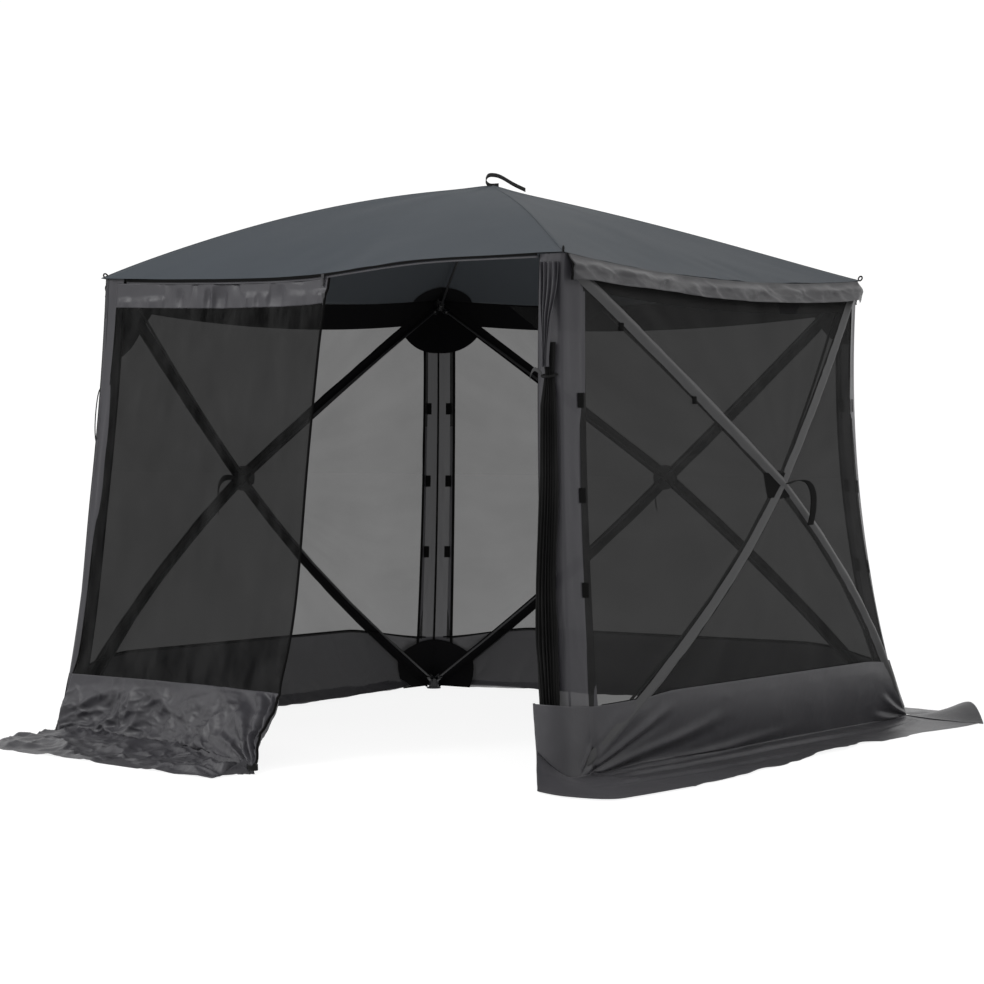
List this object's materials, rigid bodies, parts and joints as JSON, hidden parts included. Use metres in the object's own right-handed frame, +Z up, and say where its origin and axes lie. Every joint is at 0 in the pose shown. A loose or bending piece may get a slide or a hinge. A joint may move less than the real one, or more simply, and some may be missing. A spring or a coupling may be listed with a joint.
{
  "type": "screen house",
  "caption": "Pop-up hub screen house with mesh walls, an opaque pyramid roof, a zipped door wall and hub-and-pole frame that pops in and out.",
  "frame": {"origin": "on the ground at the centre of the footprint, skirts included", "axes": "+Z up; -Y out of the door; +X out of the wall on the right of somebody who looks at the door from outside"},
  "size_m": [3.428, 3.9, 2.3092],
  "materials": {
    "roof_fabric": "coated polyester, slate grey, fine plain weave, dull sheen",
    "grey_fabric": "coated polyester, dark warm grey, fine plain weave",
    "mesh_fabric": "black insect mesh, see-through",
    "fibreglass": "solid fibreglass rod, dark grey",
    "plastic": "moulded black nylon",
    "webbing": "black polypropylene webbing, ribbed",
    "zip_metal": "black lacquered zinc"
  },
  "bodies": {
    "root": {"corner_se": "plastic", "corner_ne": "plastic", "corner_nw": "plastic", "corner_sw": "plastic", "foot_se": "plastic", "foot_ne": "plastic", "foot_nw": "plastic", "foot_sw": "plastic", "column_se": "grey_fabric", "column_ne": "grey_fabric", "column_nw": "grey_fabric", "column_sw": "grey_fabric", "mesh_east_top": "mesh_fabric", "mesh_east_left": "mesh_fabric", "mesh_east_right": "mesh_fabric", "mesh_east_bottom": "mesh_fabric", "mesh_north_top": "mesh_fabric", "mesh_north_left": "mesh_fabric", "mesh_north_right": "mesh_fabric", "mesh_north_bottom": "mesh_fabric", "mesh_west_top": "mesh_fabric", "mesh_west_left": "mesh_fabric", "mesh_west_right": "mesh_fabric", "mesh_west_bottom": "mesh_fabric", "skirt_east": "grey_fabric", "skirt_north": "grey_fabric", "skirt_west": "grey_fabric", "eave_band_east": "grey_fabric", "eave_band_north": "grey_fabric", "eave_band_west": "grey_fabric", "roof_canopy": "roof_fabric", "door_header": "grey_fabric", "door_bundle_right": "mesh_fabric"},
    "roof_hub": {"hub_roof": "plastic", "strap_roof": "webbing"},
    "pole_roof_se": {"pole_roof_se": "fibreglass"},
    "pole_roof_ne": {"pole_roof_ne": "fibreglass"},
    "pole_roof_nw": {"pole_roof_nw": "fibreglass"},
    "pole_roof_sw": {"pole_roof_sw": "fibreglass"},
    "east_hub": {"hub_east": "plastic", "strap_east": "webbing"},
    "pole_east_top_left": {"pole_east_top_left": "fibreglass"},
    "pole_east_bottom_left": {"pole_east_bottom_left": "fibreglass"},
    "pole_east_top_right": {"pole_east_top_right": "fibreglass"},
    "pole_east_bottom_right": {"pole_east_bottom_right": "fibreglass"},
    "north_hub": {"hub_north": "plastic", "strap_north": "webbing"},
    "pole_north_top_left": {"pole_north_top_left": "fibreglass"},
    "pole_north_bottom_left": {"pole_north_bottom_left": "fibreglass"},
    "pole_north_top_right": {"pole_north_top_right": "fibreglass"},
    "pole_north_bottom_right": {"pole_north_bottom_right": "fibreglass"},
    "west_hub": {"hub_west": "plastic", "strap_west": "webbing"},
    "pole_west_top_left": {"pole_west_top_left": "fibreglass"},
    "pole_west_bottom_left": {"pole_west_bottom_left": "fibreglass"},
    "pole_west_top_right": {"pole_west_top_right": "fibreglass"},
    "pole_west_bottom_right": {"pole_west_bottom_right": "fibreglass"},
    "door_left": {"door_flap_left": "mesh_fabric"},
    "slider_centre": {"zip_slider_centre": "zip_metal"},
    "slider_top": {"zip_slider_top": "zip_metal"}
  },
  "joints": [
    {"name": "roof_hub_pull", "type": "slide", "parent": "root", "child": "roof_hub", "axis": [0, 0, 1], "range_m": [-0.786, 0], "deforming": ["roof_canopy"]},
    {"name": "pole_roof_se_pivot", "type": "hinge", "parent": "root", "child": "pole_roof_se", "pos_m": [1.04618, -1.04618, 1.837], "axis": [0.7071, 0.7071, 0], "range_deg": [-29.77, 0.02]},
    {"name": "pole_roof_ne_pivot", "type": "hinge", "parent": "root", "child": "pole_roof_ne", "pos_m": [1.04618, 1.04618, 1.837], "axis": [-0.7071, 0.7071, 0], "range_deg": [-29.77, 0.02]},
    {"name": "pole_roof_nw_pivot", "type": "hinge", "parent": "root", "child": "pole_roof_nw", "pos_m": [-1.04618, 1.04618, 1.837], "axis": [-0.7071, -0.7071, 0], "range_deg": [-29.77, 0.02]},
    {"name": "pole_roof_sw_pivot", "type": "hinge", "parent": "root", "child": "pole_roof_sw", "pos_m": [-1.04618, -1.04618, 1.837], "axis": [0.7071, -0.7071, 0], "range_deg": [-29.77, 0.02]},
    {"name": "east_hub_pull", "type": "slide", "parent": "root", "child": "east_hub", "axis": [0.9966, 0, 0.0827], "range_m": [-0.44848, 0], "deforming": ["mesh_east_top", "mesh_east_left", "mesh_east_right", "mesh_east_bottom"]},
    {"name": "pole_east_top_left_pivot", "type": "hinge", "parent": "root", "child": "pole_east_top_left", "pos_m": [1.08027, -1.04232, 1.80967], "axis": [0.0656, -0.6093, -0.7902], "range_deg": [-19.38, 0.02]},
    {"name": "pole_east_bottom_left_pivot", "type": "hinge", "parent": "root", "child": "pole_east_bottom_left", "pos_m": [1.22567, -1.1929, 0.05806], "axis": [0.0645, 0.6256, -0.7774], "range_deg": [-16.7, 0.02]},
    {"name": "pole_east_top_right_pivot", "type": "hinge", "parent": "root", "child": "pole_east_top_right", "pos_m": [1.08027, 1.04232, 1.80967], "axis": [-0.0656, -0.6093, 0.7902], "range_deg": [-19.38, 0.02]},
    {"name": "pole_east_bottom_right_pivot", "type": "hinge", "parent": "root", "child": "pole_east_bottom_right", "pos_m": [1.22567, 1.1929, 0.05806], "axis": [-0.0645, 0.6256, 0.7774], "range_deg": [-16.7, 0.02]},
    {"name": "north_hub_pull", "type": "slide", "parent": "root", "child": "north_hub", "axis": [0, 0.9966, 0.0827], "range_m": [-0.44848, 0], "deforming": ["mesh_north_top", "mesh_north_left", "mesh_north_right", "mesh_north_bottom"]},
    {"name": "pole_north_top_left_pivot", "type": "hinge", "parent": "root", "child": "pole_north_top_left", "pos_m": [1.04232, 1.08027, 1.80967], "axis": [0.6093, 0.0656, -0.7902], "range_deg": [-19.38, 0.02]},
    {"name": "pole_north_bottom_left_pivot", "type": "hinge", "parent": "root", "child": "pole_north_bottom_left", "pos_m": [1.1929, 1.22567, 0.05806], "axis": [-0.6256, 0.0645, -0.7774], "range_deg": [-16.7, 0.02]},
    {"name": "pole_north_top_right_pivot", "type": "hinge", "parent": "root", "child": "pole_north_top_right", "pos_m": [-1.04232, 1.08027, 1.80967], "axis": [0.6093, -0.0656, 0.7902], "range_deg": [-19.38, 0.02]},
    {"name": "pole_north_bottom_right_pivot", "type": "hinge", "parent": "root", "child": "pole_north_bottom_right", "pos_m": [-1.1929, 1.22567, 0.05806], "axis": [-0.6256, -0.0645, 0.7774], "range_deg": [-16.7, 0.02]},
    {"name": "west_hub_pull", "type": "slide", "parent": "root", "child": "west_hub", "axis": [-0.9966, 0, 0.0827], "range_m": [-0.44848, 0], "deforming": ["mesh_west_top", "mesh_west_left", "mesh_west_right", "mesh_west_bottom"]},
    {"name": "pole_west_top_left_pivot", "type": "hinge", "parent": "root", "child": "pole_west_top_left", "pos_m": [-1.08027, 1.04232, 1.80967], "axis": [-0.0656, 0.6093, -0.7902], "range_deg": [-19.38, 0.02]},
    {"name": "pole_west_bottom_left_pivot", "type": "hinge", "parent": "root", "child": "pole_west_bottom_left", "pos_m": [-1.22567, 1.1929, 0.05806], "axis": [-0.0645, -0.6256, -0.7774], "range_deg": [-16.7, 0.02]},
    {"name": "pole_west_top_right_pivot", "type": "hinge", "parent": "root", "child": "pole_west_top_right", "pos_m": [-1.08027, -1.04232, 1.80967], "axis": [0.0656, 0.6093, 0.7902], "range_deg": [-19.38, 0.02]},
    {"name": "pole_west_bottom_right_pivot", "type": "hinge", "parent": "root", "child": "pole_west_bottom_right", "pos_m": [-1.22567, -1.1929, 0.05806], "axis": [0.0645, -0.6256, 0.7774], "range_deg": [-16.7, 0.02]},
    {"name": "door_left_swing", "type": "hinge", "parent": "root", "child": "door_left", "pos_m": [-1.092, -1.195, 0.9325], "axis": [-0.0799, -0.0799, -0.9936], "range_deg": [0, 85]},
    {"name": "centre_zip_slide", "type": "slide", "parent": "door_left", "child": "slider_centre", "axis": [0, -0.2069, -0.9784], "range_m": [0, 1.387]},
    {"name": "top_zip_slide", "type": "slide", "parent": "root", "child": "slider_top", "axis": [-1, 0, 0], "range_m": [0, 0.96]}
  ],
  "couplings": [
    {"joint": "pole_roof_se_pivot", "follows": "roof_hub_pull", "rad_per_m": 0.66064},
    {"joint": "pole_roof_ne_pivot", "follows": "roof_hub_pull", "rad_per_m": 0.66064},
    {"joint": "pole_roof_nw_pivot", "follows": "roof_hub_pull", "rad_per_m": 0.66064},
    {"joint": "pole_roof_sw_pivot", "follows": "roof_hub_pull", "rad_per_m": 0.66064},
    {"joint": "pole_east_top_left_pivot", "follows": "east_hub_pull", "rad_per_m": 0.75348},
    {"joint": "pole_east_bottom_left_pivot", "follows": "east_hub_pull", "rad_per_m": 0.64934},
    {"joint": "pole_east_top_right_pivot", "follows": "east_hub_pull", "rad_per_m": 0.75348},
    {"joint": "pole_east_bottom_right_pivot", "follows": "east_hub_pull", "rad_per_m": 0.64934},
    {"joint": "pole_north_top_left_pivot", "follows": "north_hub_pull", "rad_per_m": 0.75348},
    {"joint": "pole_north_bottom_left_pivot", "follows": "north_hub_pull", "rad_per_m": 0.64934},
    {"joint": "pole_north_top_right_pivot", "follows": "north_hub_pull", "rad_per_m": 0.75348},
    {"joint": "pole_north_bottom_right_pivot", "follows": "north_hub_pull", "rad_per_m": 0.64934},
    {"joint": "pole_west_top_left_pivot", "follows": "west_hub_pull", "rad_per_m": 0.75348},
    {"joint": "pole_west_bottom_left_pivot", "follows": "west_hub_pull", "rad_per_m": 0.64934},
    {"joint": "pole_west_top_right_pivot", "follows": "west_hub_pull", "rad_per_m": 0.75348},
    {"joint": "pole_west_bottom_right_pivot", "follows": "west_hub_pull", "rad_per_m": 0.64934}
  ]
}
